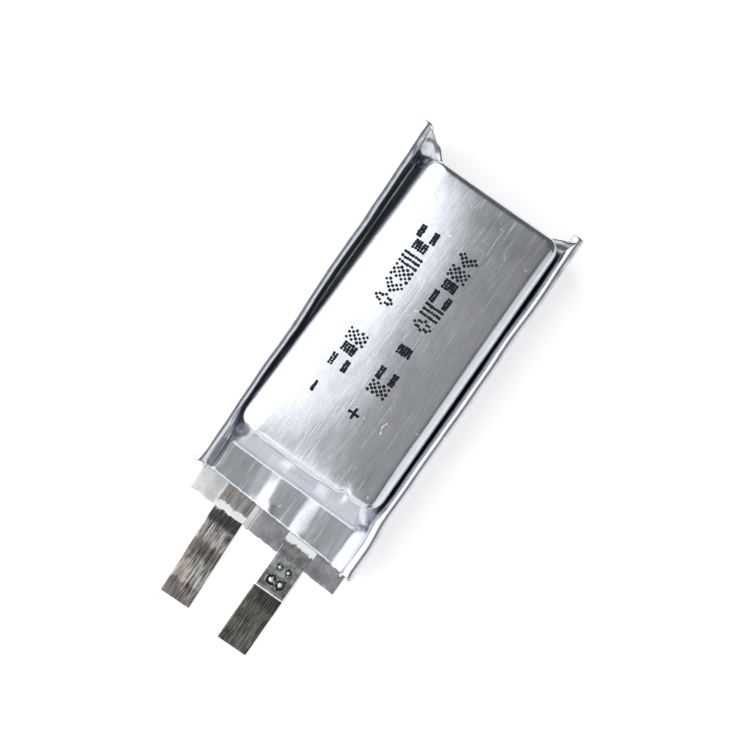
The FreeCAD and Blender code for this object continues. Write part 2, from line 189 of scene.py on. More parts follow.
RING_COUNTS = (24, 11, 14, 9, 26)
FACE_CORNER = 0.25 * MM


def wall_section(middle, edge, foot, rim, top, shoulder, hollow):
    """One side of the drawn cup in section, as (distance, height) from its middle to the rim.

    A level line, a curve round the edge of the face, the wall, a hollow curve at its foot and
    the level rim.
    """
    face_end = np.array([edge, top])
    wall_end = np.array([foot, 0.0])
    fall = (wall_end - face_end) / np.linalg.norm(wall_end - face_end)
    inward = np.array([-np.sign(edge - middle), 0.0])
    stations = [
        (np.array([middle, top]), None, face_end + inward * shoulder),
        (face_end + inward * shoulder, face_end, face_end + fall * shoulder),
        (face_end + fall * shoulder, None, wall_end - fall * hollow),
        (wall_end - fall * hollow, wall_end, wall_end - inward * hollow),
        (wall_end - inward * hollow, None, np.array([rim, 0.0])),
    ]
    points = []
    for (start, bend, end), count in zip(stations, RING_COUNTS):
        if bend is None:
            points.append(line_points(start, end, count))
        else:
            points.append(bend_points(start, bend, end, count))
    points.append(np.array([[rim, 0.0]]))
    return np.concatenate(points)


def ring_corner_radii(face_radius, end):
    """Plan radius of the corners of each ring of the cup, from none at the middle."""
    face, edge, wall, hollow, rim = RING_COUNTS
    parts = [np.linspace(0, face_radius, face, endpoint=False),
             np.linspace(face_radius, end, edge, endpoint=False),
             np.full(wall + hollow, end),
             end * np.linspace(1, 0, rim, endpoint=False) ** 2,
             np.zeros(1)]
    return np.concatenate(parts)


def seal_height(x, y):
    """Height of the top of the top seal.

    Two films, plus the tabs and resin between them inside a window with soft sides, plus two
    low steps that rise to the right and fall away slowly, plus fine creases along the cell,
    less a small lip at the cut edge.
    """
    step_height, left_fall = 0.075 * MM, 0.16 * MM
    inside = smooth(-5.5 * MM, -5.1 * MM, x) * (1 - smooth(4.7 * MM, 5.1 * MM, x))
    lip = 0.05 * MM * (1 - smooth(SEAL_EDGE, SEAL_EDGE + 0.12 * MM, y))
    lift = (RESIN_TOP - FILM) * inside * (1 - smooth(TERRACE_END, TERRACE_END + 0.5 * MM, y))
    near = 0.25 + 0.75 * smooth(TERRACE_END, SEAL_EDGE + 0.6 * MM, y)
    steps = step_height * (near * smooth(-1.7 * MM, -0.9 * MM, x)
                           + 0.7 * smooth(1.05 * MM, 2.15 * MM, x))
    falls = step_height * (smooth(-1.0 * MM, 1.2 * MM, x) + smooth(2.2 * MM, 4.8 * MM, x))
    falls = falls - left_fall * (1 - smooth(-5.6 * MM, -1.9 * MM, x))
    edge = 1 - smooth(SEAL_EDGE, SEAL_EDGE + 0.9 * MM, y)
    wrinkle = 0.008 * MM * edge * ripples(x, 0.6 * y, 1.3 * MM, 5)
    dent = 0.07 * MM * np.exp(-((x + 0.55 * MM) / (0.35 * MM)) ** 2) * smooth(
        SEAL_EDGE + 0.9 * MM, SEAL_EDGE + 0.2 * MM, y)
    fine = 0.0022 * MM * ripples(x, 0.12 * y, 0.45 * MM, 6)
    return 2 * FILM + lift + inside * (steps - falls + wrinkle + dent) + fine - lip


def seal_skew(x, y, amount):
    """How far the cut edge of the top seal runs off square: it grows from the foot of the cup."""
    return -amount * x * (1 - smooth(SEAL_EDGE, TERRACE_END + 1.2 * MM, y))


def cup_points(sizes):
    """The drawn half of the film, as rings round the cup.

    Each ring is a rounded rectangle, its four sides placed by the section of that side.  A
    point's height is the mean of the four sections' heights, weighted by the squares of the
    cosine and sine of its outward angle, plus the crown of the face, which is the product of
    a parabola across and a flatter curve along, plus the height of the seal below the wall.
    """
    across, along, angle = outline_parameters(84, 132, 20)
    edge_x, edge_tab, edge_fold = face_edges(sizes)
    top = FACE_TOP - sizes.crown - 2 * FILM
    rim = 0.06 * MM
    side_hollow, fold_hollow = 0.20 * MM, 0.01 * MM
    sides = {
        "right": (0.0, edge_x, CUP_HALF, CUP_HALF + rim, sizes.right_shoulder, side_hollow),
        "fold": (edge_fold - edge_x, edge_fold, FOLD_END, FOLD_END + rim / 3,
                 sizes.fold_shoulder, fold_hollow),
        "left": (0.0, -edge_x, -CUP_HALF, -CUP_HALF - rim, sizes.shoulder, side_hollow),
        "tab": (edge_tab + edge_x, edge_tab, TERRACE_END, SEAL_EDGE, sizes.tab_shoulder,
                sizes.slope_hollow),
    }
    section = {name: wall_section(*row[:4], top, *row[4:]) for name, row in sides.items()}
    radius = ring_corner_radii(FACE_CORNER, sizes.wall_corner)[:, None]
    place = {name: rows[:, :1] for name, rows in section.items()}
    level = {name: rows[:, 1:] for name, rows in section.items()}
    low_x, high_x = place["left"] + radius, place["right"] - radius
    low_y, high_y = place["tab"] + radius, place["fold"] - radius
    x = low_x + (high_x - low_x) * across + radius * np.cos(angle)
    y = low_y + (high_y - low_y) * along + radius * np.sin(angle)
    height = (level["right"] * np.maximum(np.cos(angle), 0) ** 2
              + level["left"] * np.maximum(-np.cos(angle), 0) ** 2
              + level["fold"] * np.maximum(np.sin(angle), 0) ** 2
              + level["tab"] * np.maximum(-np.sin(angle), 0) ** 2)
    share = np.clip(height / top, 0, 1)
    z = height + seal_height(x, y) * (1 - share) + 2 * FILM * share
    z = z + smooth(0.75, 1.0, share) * face_relief(x, y, sizes)
    cut_edge = 1 - smooth(0.0, 0.3 * MM, y - SEAL_EDGE)
    x = x + flank_flare(x, y, share, sizes)
    y = y + seal_skew(x, y, sizes.seal_skew) + tab_edge_bow(x, y, share, sizes)
    y = y + slope_dents(x, y, share)
    y = y + 0.035 * MM * ripples(x, 0 * x, 0.4 * MM, 17) * cut_edge
    return np.stack([x, y, z], axis=-1)


def face_edges(sizes):
    """Half width of the face, and its two ends along the cell."""
    return (CUP_HALF - sizes.side_draft, TERRACE_END + sizes.slope_run,
            FOLD_END - sizes.fold_draft)


def face_relief(x, y, sizes):
    """Relief of the face: its crown, a parabola across by a flatter curve along, and ripples."""
    edge_x, edge_tab, edge_fold = face_edges(sizes)
    middle, reach = (edge_tab + edge_fold) / 2, (edge_fold - edge_tab) / 2
    crown = np.clip(1 - (x / edge_x) ** 2, 0, 1) * np.clip(1 - ((y - middle) / reach) ** 6, 0, 1)
    broad = 0.008 * MM * ripples(x, 0.4 * y, 3.2 * MM, 11)
    fine = 0.0008 * MM * ripples(x, y, 0.9 * MM, 12)
    return sizes.crown * crown + broad + fine


def flank_flare(x, y, share, sizes):
    """The top of the left flank leans out over its foot near the tabs, and in near the fold."""
    upright_at = 0.24
    near = (FOLD_END - y) / (FOLD_END - TERRACE_END) - upright_at
    return -sizes.left_flare * near * smooth(0.3, 1.0, -x / CUP_HALF) * smooth(0.55, 1.0, share)


def tab_edge_bow(x, y, share, sizes):
    """The edge of the face at the tabs bows out in its middle."""
    near = 1 - smooth(TERRACE_END + 1.2 * MM, TERRACE_END + 4.0 * MM, y)
    return -sizes.edge_bow * (1 - (x / CUP_HALF) ** 2) * near * smooth(0.15, 0.8, share)


def slope_dents(x, y, share):
    """A nick in the edge above the aluminium tab and a curl at the left of the slope."""
    def bell(middle, width, depth):
        return depth * MM * np.exp(-((x - middle * MM) / (width * MM)) ** 2)

    wall = smooth(0.25, 0.95, share)
    wall = wall * (1 - smooth(TERRACE_END + 1.5 * MM, TERRACE_END + 2.6 * MM, y))
    return (bell(2.75, 0.32, 0.22) - bell(-4.3, 0.30, 0.14)) * wall


def turned_profile(x0, z0, pieces):
    """A line that starts level at (x0, z0) and is carried along by its turning angle.

    pieces are (length, turn, samples).  The heading is the running sum of the turns, and the
    place is the running sum of the steps along the heading; lengths and turns may be columns,
    one row for each station.
    """
    heading = 0.0
    steps, angles = [], []
    for length, turn, count in pieces:
        t = (np.arange(count) + 0.5) / count
        angles.append(heading + turn * t + 0 * length)
        steps.append(length / count + 0 * angles[-1])
        heading = heading + turn
    angle = np.concatenate(angles, axis=1)
    step = np.concatenate(steps, axis=1)
    x = np.cumsum(step * np.cos(angle), axis=1)
    z = np.cumsum(step * np.sin(angle), axis=1)
    zero = np.zeros_like(x[:, :1])
    x = x0 + np.concatenate([zero, x], axis=1)
    z = z0 + np.concatenate([zero, z], axis=1)
    middle = np.concatenate([angle[:, :1], (angle[:, 1:] + angle[:, :-1]) / 2, angle[:, -1:]], axis=1)
    return x, z, middle


def side_seal_points(sizes, side):
    """A side seal: its section, a hemmed strip of even thickness, carried along the cell.

    The section turns up from the root, leans, makes a half-turn inwards and comes back down.
    The strip is the section moved half its thickness to either side along its own normal.
    """
    left = side < 0
    stations = 230
    start = SEAL_EDGE - 0.02 * MM
    end = EAR_END + (0.55 * MM if left else -0.02 * MM)
    t = np.linspace(0, 1, stations)[:, None]
    y = start + (end - start) * t
    top_seal = 1 - smooth(TERRACE_END - 0.6 * MM, TERRACE_END + 1.4 * MM, y)
    broad = sizes.left_root_bend if left else sizes.right_root_bend
    bend = sizes.root_bend + (broad - sizes.root_bend) * top_seal
    reach_in = 0.75 * (bend - sizes.root_bend)
    lean = sizes.left_lean + sizes.left_lean_gain * t if left else sizes.right_lean + 0 * t
    lean = lean + 0.35 * DEGREE * ripples(y, 0 * y, 9 * MM, 21 + side)
    turn = np.pi / 2 - lean
    hem = sizes.hem_bend * (1 + 0.03 * ripples(y, 0 * y, 5 * MM, 31 + side))
    root_z = FILM + (RESIN_TOP - 0.03 * MM - FILM) * top_seal
    root_x = CUP_HALF - reach_in
    ridge = RIDGE_TOP + 0.02 * MM * ripples(y, 0 * y, 7 * MM, 41 + side)
    rise = ridge - FILM - root_z - bend * (1 - np.cos(turn)) - hem * (1 + np.cos(turn))
    wall = rise / np.sin(turn)
    tail = sizes.hem_return * (1 + 0.05 * ripples(y, 0 * y, 3 * MM, 51 + side))
    x, z, heading = turned_profile(root_x, root_z, [
        (0.05 * MM + 0 * t, 0 * t, 2), (bend * turn, turn, 9), (wall, 0 * t, 16),
        (hem * np.pi, np.pi + 0 * t, 16), (tail, 0.05 + 0 * t, 8)])
    high = smooth(0.0, 1.0, (z - FILM) / (RIDGE_TOP - FILM))
    ear = (1 - high) * sizes.ear_slant * smooth(FOLD_END - 3 * MM, EAR_END, y)
    crumple = (1 - smooth(SEAL_EDGE, SEAL_EDGE + 0.8 * MM, y)) * (0.08 * MM if left else 0.05 * MM)
    x = x + crumple * ripples(z, y, 0.8 * MM, 61 + side) * high
    x = x + 0.012 * MM * ripples(z, 0.3 * y, 0.9 * MM, 71 + side) * high
    y = y - ear + crumple * ripples(x, z, 0.9 * MM, 63) + seal_skew(side * x, y, sizes.seal_skew)
    half = FILM * sizes.seal_squeeze * (1 + 0.05 * ripples(z, y, 1.1 * MM, 81 + side))
    outer = np.stack([x + half * np.sin(heading), y, z - half * np.cos(heading)], axis=-1)
    inner = np.stack([x - half * np.sin(heading), y, z + half * np.cos(heading)], axis=-1)
    loop = np.concatenate([outer, inner[:, ::-1]], axis=1)
    loop[..., 0] *= side
    return loop


def strip_faces(rows, width):
    """Faces of a closed strip whose section is width points out and width points back."""
    shell = grid_faces(rows, 2 * width, wrap=True)
    first = np.arange(width - 1)
    cap = np.stack([first, first + 1, 2 * width - 2 - first, 2 * width - 1 - first], axis=-1)
    return np.concatenate([shell, cap[:, ::-1], cap + (rows - 1) * 2 * width])


def web_points(sizes, side):
    """The web at a corner of the folded end: a sheet from the cup's corner to the ear.

    Its section along the cell stands up at the foot and lies level at the top: the height goes
    as the root of the sine, and the place as the cosine, of one angle.  Across it, the place
    along the cell follows a power curve, and its upper edge sags like a parabola.
    """
    left = side < 0
    a = np.linspace(0, 1, 48)[:, None]
    b = np.linspace(0, 1, 34)[None, :] * np.pi / 2
    start = FACE_TOP - (sizes.left_web_drop if left else sizes.right_web_drop)
    top = start + (RIDGE_TOP - 0.15 * MM - start) * a - sizes.web_sag * 4 * a * (1 - a)
    z = FILM + (top - FILM) * np.sqrt(np.sin(b))
    inner_x = CUP_HALF - 1.6 * MM
    outer_x = CUP_HALF + (RIDGE_OUT - CUP_HALF - 0.40 * MM) * z / RIDGE_TOP
    x = inner_x + (outer_x - inner_x) * a
    end = EAR_END + (0.25 * MM if left else -0.25 * MM)
    start_y = FOLD_END - 0.02 * MM
    top_y = start_y + (end - start_y) * a ** (0.85 if left else 1.1)
    y = top_y - sizes.web_lean * (0.6 + 0.6 * a) * np.cos(b)
    fold = 0.13 * MM if left else 0.03 * MM
    y = y + fold * np.sin(np.pi * a) * ripples(x, z, 0.9 * MM, 91 + side)
    return np.stack([side * x, y, z], axis=-1)


def back_points(sizes):
    """The flat half of the film: a level sheet that curls up round the folded end.

    Its height is a shallow cushion inside the foot of the cup plus faint unevenness.
    """
    x = np.linspace(-CUP_HALF, CUP_HALF, 90)[None, :]
    curl, cushion = 0.33 * MM, 0.035 * MM
    flat = np.linspace(SEAL_EDGE, FOLD_END - 0.19 * MM, 190)
    turn = np.linspace(0, np.pi / 2, 12)[1:]
    y = np.concatenate([flat, flat[-1] + curl * np.sin(turn)])[:, None]
    lift = np.concatenate([0 * flat, curl * (1 - np.cos(turn))])[:, None]
    inside = smooth(-CUP_HALF, -CUP_HALF + 0.8 * MM, x) * (1 - smooth(CUP_HALF - 0.8 * MM, CUP_HALF, x))
    inside = inside * smooth(TERRACE_END - 0.3 * MM, TERRACE_END + 0.5 * MM, y)
    inside = inside * (1 - smooth(FOLD_END - 1.0 * MM, FOLD_END - 0.2 * MM, y))
    uneven = 0.006 * MM * (ripples(x, y, 2.4 * MM, 15) + 1.2)
    z = lift + cushion * (1 - inside) + uneven * inside
    x = x + 0 * y
    y = y + 0 * x + seal_skew(x, y, sizes.seal_skew)
    return np.stack([x, y, z], axis=-1)


def ribbon_points(box, bow, drift, droop, stations, seed, end_skew):
    """A metal strip: a thin rounded section carried along its length.

    The section is a rectangle whose long edges are half circles of the strip's thickness.  The
    path bows and droops like a parabola, drifts sideways in proportion to its length, and
    ripples faintly.
    """
    (x0, y0, z0), (x1, y1, z1) = box
    half, thick = (x1 - x0) / 2, (z1 - z0) / 2
    edge = 0.05 * MM
    flat = np.linspace(1, -1, 23)
    turn = np.linspace(np.pi / 2, 3 * np.pi / 2, 6)[1:-1]
    section_x = np.concatenate([flat * (half - edge), -half + edge + edge * np.cos(turn),
                                -flat * (half - edge), half - edge - edge * np.cos(turn)])
    section_z = np.concatenate([0 * flat + thick, thick * np.sin(turn),
                                0 * flat - thick, -thick * np.sin(turn)])
    t = np.linspace(0, 1, stations)[:, None]
    y = y1 + (y0 - y1) * t
    out = np.clip((RESIN_END - y) / (RESIN_END - y0), 0, 1)
    shrink = 1 - 0.35 * np.clip((np.abs(2 * t - 1) - 0.995) / 0.005, 0, 1)
    x = (x0 + x1) / 2 + section_x * (1 - 0.01 * (1 - shrink)) + drift * out
    z = (z0 + z1) / 2 + section_z * shrink
    z = z + bow * 4 * out * (1 - out) - droop * out ** 2
    z = z + 0.010 * MM * ripples(section_x, y, 2.2 * MM, seed) * np.minimum(1, 4 * out)
    y = y + end_skew * section_x * out ** 4
    return np.stack([x, y + 0 * x, z], axis=-1)


def ribbon_faces(rows, columns):
    """Faces of a closed ribbon: the wall and two end caps."""
    shell = grid_faces(rows, columns, wrap=True)
    half = columns // 2
    first = np.arange(half - 1)
    cap = np.stack([first, first + 1, columns - 2 - first, columns - 1 - first], axis=-1)
    return np.concatenate([shell[:, ::-1], cap[:, ::-1], cap + (rows - 1) * columns])


def resin_points(box, ragged, seed, sink, skew):
    """A sealing film: a slab with a soft edge whose free end is uneven.

    The section across is a flat lens; the free edge wanders by the ripples of its position.
    """
    (x0, y0, z0), (x1, y1, z1) = box
    across = np.linspace(0, 1, 60)
    section_x = np.concatenate([x0 + (x1 - x0) * across, x1 - (x1 - x0) * across[1:-1]])
    lens = np.sqrt(np.clip(1 - (2 * across - 1) ** 14, 0, 1))
    middle, half = (z0 + z1) / 2, (z1 - z0) / 2
    section_z = np.concatenate([middle - half * lens, middle + half * lens[::-1][1:-1]])
    t = np.linspace(0, 1, 40)[:, None]
    x = section_x + 0 * t
    inner_end = SEAL_EDGE + 0.35 * MM
    free_end = y0 + ragged * ripples(x, 0 * x, 0.8 * MM, seed) + 0.4 * ragged * ripples(
        x, 0 * x, 0.25 * MM, seed + 1)
    y = inner_end + (free_end - inner_end) * t
    soft = np.sqrt(np.clip(1 - np.clip((t - 0.9) / 0.1, 0, 1) ** 2, 0.02, 1))
    z = middle + (section_z - middle) * soft - sink * t ** 2
    z = z + 0.02 * MM * t * ripples(x, y, 1.6 * MM, seed + 2)
    y = y + seal_skew(x, SEAL_EDGE + 0 * y, skew) * (1 - 0.35 * t)
    return np.stack([x, y, z], axis=-1)


def pit_points(middle, radius, top, seed):
    """A spot weld: a disc whose height is a raised rim, a ring groove and an uneven middle."""
    rings = np.linspace(0, 1, 16)[:, None]
    turn = np.linspace(0, 2 * np.pi, 40, endpoint=False)[None, :]
    wander = 1 + 0.07 * np.sin(3 * turn + seed) + 0.05 * np.sin(5 * turn + 2 * seed)
    x = middle[0] + radius * rings * wander * np.cos(turn)
    y = middle[1] + radius * rings * wander * np.sin(turn)
    rim = 0.030 * MM * np.exp(-((rings - 0.84) / 0.10) ** 2)
    groove = -0.030 * MM * np.exp(-((rings - 0.58) / 0.13) ** 2)
    pip = 0.022 * MM * np.exp(-(rings / 0.30) ** 2) * (1 + 0.9 * np.sin(2 * turn + seed))
    sunk = -0.02 * MM * smooth(0.93, 1.0, rings)
    z = top + 0.038 * MM + rim + groove + pip + sunk + 0 * turn
    uv = np.stack([rings + 0 * turn, turn / (2 * np.pi) + 0 * rings], axis=-1)
    return np.stack([x, y, z], axis=-1), uv


# ---------------------------------------------------------------- finishes in nodes

class Term:
    """A value that varies over a surface; sums and products of terms add Math nodes."""

    def __init__(self, finish, socket):
        self.finish = finish
        self.socket = socket

    def math(self, operation, first, second):
        return self.finish.node("ShaderNodeMath", {"operation": operation}, {0: first, 1: second})

    def __add__(self, other):
        return self.math("ADD", self, other)

    def __radd__(self, other):
        return self.math("ADD", other, self)

    def __sub__(self, other):
        return self.math("SUBTRACT", self, other)

    def __rsub__(self, other):
        return self.math("SUBTRACT", other, self)

    def __mul__(self, other):
        return self.math("MULTIPLY", self, other)

    def __rmul__(self, other):
        return self.math("MULTIPLY", other, self)

    def ramp(self, low, high):
        """0 where the term is under low and 1 where it is over high."""
        return self.finish.node("ShaderNodeMapRange", {"interpolation_type": "SMOOTHSTEP"},
                                {0: self, 1: low, 2: high})


class Finish:
    """One material, built node by node."""

    def __init__(self, name, metallic=0.0, roughness=0.5, coat=0.0, coat_roughness=0.1, ior=1.5):
        self.material = bpy.data.materials.new(name)
        self.material.use_nodes = True
        self.tree = self.material.node_tree
        self.shader = self.tree.nodes["Principled BSDF"]
        for socket, value in (("Metallic", metallic), ("Roughness", roughness),
                              ("Coat Weight", coat), ("Coat Roughness", coat_roughness), ("IOR", ior)):
            self.shader.inputs[socket].default_value = value

    def node(self, kind, settings=None, sockets=None, out=0):
        """A node of that type: its settings are set first, then its sockets' values or links."""
        made = self.tree.nodes.new(kind)
        for name, value in (settings or {}).items():
            if name == "stops":
                self.set_stops(made.color_ramp, value)
            else:
                setattr(made, name, value)
        for name, value in (sockets or {}).items():
            if isinstance(value, Term):
                self.tree.links.new(value.socket, made.inputs[name])
            else:
                made.inputs[name].default_value = value
        return Term(self, made.outputs[out])

    @staticmethod
    def set_stops(ramp, stops):
        """The positions and colours of a colour ramp."""
        first, *middle, last = stops
        ends = [(ramp.elements[0], first), (ramp.elements[1], last)]
        ends += [(ramp.elements.new(stop[0]), stop) for stop in middle]
        for element, (place, colour) in ends:
            element.position = place
            element.color = (*colour, 1.0)

    def place(self, scale=(1, 1, 1), shift=(0, 0, 0)):
        """The point on the piece in millimetres, scaled and shifted."""
        here = self.node("ShaderNodeTexCoord", out="Object")
        metres = tuple(value / MM for value in scale)
        return self.node("ShaderNodeMapping", {}, {"Vector": here, "Scale": metres, "Location": shift})

    def coordinates(self):
        """The point's three coordinates in millimetres."""
        split = self.node("ShaderNodeSeparateXYZ", {}, {0: self.place()})
        outputs = split.socket.node.outputs
        return [Term(self, outputs[axis]) for axis in range(3)]

    def noise(self, per_mm, detail=3.0, rough=0.55, stretch=(1, 1, 1), shift=(0, 0, 0)):
        """Cloudy noise from 0 to 1, per_mm cycles a millimetre, stretched along the axes."""
        return self.node("ShaderNodeTexNoise", {}, {
            "Vector": self.place(stretch, shift), "Scale": per_mm, "Detail": detail,
            "Roughness": rough})

    def blend(self, factor, first, second):
        """The colour that goes from first to second as the factor goes from 0 to 1."""
        node = self.tree.nodes.new("ShaderNodeMix")
        node.data_type = "RGBA"
        self.connect(factor, node.inputs["Factor"])
        self.connect(first, node.inputs[6])
        self.connect(second, node.inputs[7])
        return Term(self, node.outputs[2])

    def connect(self, value, socket):
        """Links a term to a socket, or sets the socket's own value."""
        if isinstance(value, Term):
            self.tree.links.new(value.socket, socket)
        elif isinstance(value, tuple):
            socket.default_value = (*value, 1.0)
        else:
            socket.default_value = value

    def paint(self, **values):
        """Feeds the shader: colour, roughness, metallic, coat, alpha."""
        names = {"colour": "Base Color", "roughness": "Roughness", "metallic": "Metallic",
                 "coat": "Coat Weight", "alpha": "Alpha"}
        for word, value in values.items():
            self.connect(value, self.shader.inputs[names[word]])
        return self

    def bump(self, height, distance):
        """Relief of that height in metres where the height term is 1."""
        relief = self.node("ShaderNodeBump", {}, {
            "Height": height, "Distance": distance, "Strength": 1.0})
        self.tree.links.new(relief.socket, self.shader.inputs["Normal"])
        return self


def film_finish(colours):
    """Pouch laminate: satin aluminium under clear nylon, with grain, clouds, handling marks, and painted
    glints on a scratch and in specks.
    """
    finish = Finish("pouch_laminate", metallic=0.95, coat=0.2, coat_roughness=0.15)
    clouds = finish.noise(0.5, 4.0, 0.6)
    grain = finish.noise(7.0, 3.0, 0.6, stretch=(1, 0.10, 1))
    speckle = finish.noise(9.0, 2.0, 0.5)
    scratches = finish.noise(3.0, 2.0, 0.5, stretch=(4.0, 0.05, 1), shift=(3, 1, 0)).ramp(0.64, 0.70)
    wear = finish.noise(1.6, 5.0, 0.7, shift=(7, 3, 2)).ramp(0.58, 0.75)
    tone = (clouds * 0.3 + grain * 0.4 + speckle * 0.3).ramp(0.25, 0.75)
    colour = finish.blend(tone, tuple(colours.film_shade), tuple(colours.film))
    colour = finish.blend(scratches * 0.2, colour, (0.93, 0.94, 0.96))
    x, y, z = finish.coordinates()
    scratch_x, scratch_start, scratch_end, face_from = 2.42, -4.05, -3.1, 5.6
    swing = finish.node("ShaderNodeMath", {"operation": "SINE"}, {0: y * 7.5})
    aside = finish.node("ShaderNodeMath", {"operation": "ABSOLUTE"},
                        {0: x - scratch_x - swing * 0.07})
    # A real scratch, raised in the bump, with a painted white glint along it in the colour.
    mark = (1 - aside.ramp(0.015, 0.05)) * y.ramp(scratch_start, scratch_start + 0.1)
    mark = mark * (1 - y.ramp(scratch_end - 0.15, scratch_end)) * z.ramp(face_from, face_from + 0.2)
    # Painted glints: tiny near-white specks painted into the colour.
    glint_specks = finish.noise(2.2, 1.0, 0.4, shift=(9, 9, 1)).ramp(0.765, 0.785)
    colour = finish.blend(mark * 0.6 + glint_specks * 0.6, colour, (0.98, 0.98, 0.99))
    finish.paint(colour=colour, roughness=0.19 + clouds * 0.05 + grain * 0.05 + wear * 0.04)
    finish.bump(grain * 0.5 + speckle * 0.4 + clouds * 0.3 + scratches * 0.3 + mark * 6 + glint_specks * 3,
                0.004 * MM)
    return finish.material


def nickel_finish(colours, name, colour, shade, dark_bands, warm_reflection_amount):
    """Nickel strip: lengthwise rolling lines and dark hairlines, with painted warm reflections, dark
    bands that on the nickel tab are painted dark reflections, and painted glints.
    """
    finish = Finish(name, metallic=1.0)
    lines = finish.noise(5.0, 4.0, 0.65, stretch=(3.0, 0.12, 1))
    fine = finish.noise(14.0, 2.0, 0.6, stretch=(1.2, 0.06, 1), shift=(5, 2, 1))
    clouds = finish.noise(0.9, 4.0, 0.6, shift=(2, 9, 4))
    # Painted warm reflection: pinkish patches painted into the colour.
    warm_reflection_mask = finish.noise(0.6, 3.0, 0.6, shift=(11, 4, 6)).ramp(0.46, 0.60) * warm_reflection_amount
    tone = (lines * 0.75 + clouds * 0.25).ramp(0.43, 0.56)
    base = finish.blend(tone, tuple(shade), tuple(colour))
    base = finish.blend(warm_reflection_mask * 0.55, base, tuple(colours.warm_reflection))
    glints = fine.ramp(0.62, 0.72) * lines.ramp(0.45, 0.6)
    base = finish.blend(glints * 0.7, base, (0.92, 0.92, 0.90))
    hairlines = 1 - finish.noise(9.0, 2.0, 0.6, stretch=(1.6, 0.07, 1), shift=(8, 7, 3)).ramp(0.34, 0.44)
    base = finish.blend(hairlines * 0.55, base, tuple(colours.smudge_and_dark_reflection))
    along = finish.coordinates()[1] + lines * 1.3 + clouds * 0.5 - 0.9
    # Dark bands painted into the colour: on the nickel tab they are painted dark reflections, on the
    # extension a darker band.
    for low, high, strength in dark_bands:
        band = along.ramp(low - 0.15, low + 0.15) * (1 - along.ramp(high - 0.15, high + 0.15))
        base = finish.blend(band * (1.25 - fine * 0.8) * strength, base, tuple(colours.smudge_and_dark_reflection))
    finish.paint(colour=base, roughness=0.18 + lines * 0.16 + clouds * 0.10)
    finish.bump(lines * 0.7 + fine * 0.3, 0.006 * MM)
    return finish.material


def tab_aluminium_finish(colours):
    """Soft aluminium strip: dull, fine lines and tool marks round the welds, and a painted highlight
    along its edges.
    """
    finish = Finish("tab_aluminium", metallic=1.0)
    (left, end, _), (right, _, _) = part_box("positive_tab")
    left, end, right = left / MM, end / MM, right / MM
    x, y, _ = finish.coordinates()
    lines = finish.noise(6.0, 4.0, 0.6, stretch=(2.0, 0.10, 1), shift=(1, 6, 2))
    clouds = finish.noise(2.0, 5.0, 0.65, shift=(4, 1, 8))
    tone = (lines * 0.4 + clouds * 0.6).ramp(0.38, 0.62)
    colour = finish.blend(tone, tuple(colours.aluminium_shade), tuple(colours.aluminium))
    burnt = y + clouds * 0.6 - 0.3
    burnt = burnt.ramp(end + 0.15, end + 0.4) * (1 - burnt.ramp(end + 1.15, end + 1.5))
    colour = finish.blend(burnt * clouds.ramp(0.35, 0.6) * 0.85, colour, tuple(colours.smudge_and_dark_reflection))
    # Painted highlight: a near-white line along the tab's sides and end, painted into the colour.
    edge = (1 - x.ramp(left + 0.05, left + 0.09)) + x.ramp(right - 0.09, right - 0.05)
    edge = edge * (1 - y.ramp(end + 3.2, end + 3.3)) + (1 - y.ramp(end + 0.07, end + 0.11))
    colour = finish.blend(edge.ramp(0.0, 1.0) * 0.9, colour, (0.97, 0.97, 0.97))
    finish.paint(colour=colour, roughness=0.26 + clouds * 0.2)
    finish.bump(lines * 0.4 + clouds * 0.8, 0.012 * MM)
    return finish.material


def weld_finish(colours):
    """Spot weld: a burnt ring round a bright, melted middle."""
    finish = Finish("spot_weld", metallic=1.0, roughness=0.35)
    place = finish.node("ShaderNodeUVMap", {"uv_map": "UVMap"})
    split = finish.node("ShaderNodeSeparateXYZ", {}, {0: place})
    radius = Term(finish, split.socket.node.outputs[0])
    grit = finish.noise(9.0, 3.0, 0.6)
    uneven = radius + grit * 0.7 - 0.35
    shade = finish.node("ShaderNodeValToRGB", {"stops": [
        (0.0, (0.95, 0.96, 0.96)), (0.30, (0.75, 0.76, 0.76)), (0.42, (0.03, 0.035, 0.04)),
        (0.74, (0.02, 0.025, 0.03)), (0.90, (0.10, 0.11, 0.12)), (1.0, (0.30, 0.31, 0.32))]},
        {0: uneven})
    finish.paint(colour=shade, roughness=0.25 + grit * 0.25)
    finish.bump(grit, 0.03 * MM)
    return finish.material


